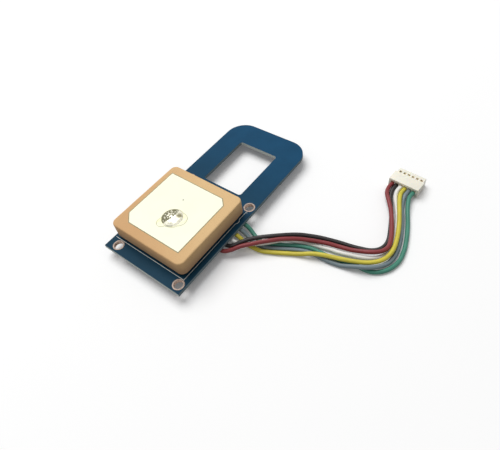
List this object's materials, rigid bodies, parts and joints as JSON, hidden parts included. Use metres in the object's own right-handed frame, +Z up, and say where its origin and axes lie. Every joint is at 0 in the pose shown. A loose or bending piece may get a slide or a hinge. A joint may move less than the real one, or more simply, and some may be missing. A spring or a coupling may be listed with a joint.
{
  "type": "gps module",
  "caption": "Flat receiver board with a ceramic patch antenna on top, an open loop at one end, plated mounting holes and a coloured wire lead that ends in a plug.",
  "frame": {"origin": "middle of the board in plan, on the surface that the shield can stands on", "axes": "+Z up out of the antenna, +Y along the board towards the loop, +X to the edge that the wires leave from"},
  "size_m": [0.0658, 0.0661, 0.0099],
  "materials": {
    "board": "blue solder mask over glass laminate",
    "copper_tin": "bare pinkish plating",
    "foam": "matt black foam tape",
    "silver": "matt fired silver",
    "ceramic": "matt tan pressed ceramic",
    "solder": "bright tin",
    "can_steel": "tinned sheet",
    "chip_black": "matt moulded resin",
    "pale_ceramic": "matt",
    "cell_steel": "satin",
    "capacitor_tan": "matt",
    "bead_grey": "matt",
    "lamp_resin": "clear resin",
    "wire_red": "satin insulation",
    "wire_black": "satin insulation",
    "wire_white": "satin insulation",
    "wire_yellow": "satin insulation",
    "wire_grey": "satin insulation",
    "wire_green": "satin insulation",
    "plug_nylon": "moulded nylon",
    "contact_brass": "bright"
  },
  "bodies": {
    "root": {"circuit_board": "board", "hole_platings": "copper_tin", "foam_pad": "foam", "antenna_ground": "silver", "antenna_ceramic": "ceramic", "antenna_electrode": "silver", "feed_pin": "solder", "feed_solder_top": "solder", "feed_solder_bottom": "solder", "shield_can": "can_steel", "receiver_chip": "chip_black", "oscillator": "can_steel", "input_filter": "pale_ceramic", "input_amplifier": "chip_black", "voltage_regulator": "chip_black", "regulator_leads": "solder", "backup_cell": "cell_steel", "cell_tabs": "cell_steel", "compass_chip": "chip_black", "capacitors": "capacitor_tan", "resistors": "chip_black", "ferrite_beads": "bead_grey", "status_lamps": "lamp_resin", "tinned_ends": "solder", "wire_pads": "solder", "wire_cores": "solder", "wire_solder": "solder", "wire_red": "wire_red", "wire_black": "wire_black", "wire_white": "wire_white", "wire_yellow": "wire_yellow", "wire_grey": "wire_grey", "wire_green": "wire_green", "plug_housing": "plug_nylon", "plug_contacts": "contact_brass"}
  },
  "joints": []
}
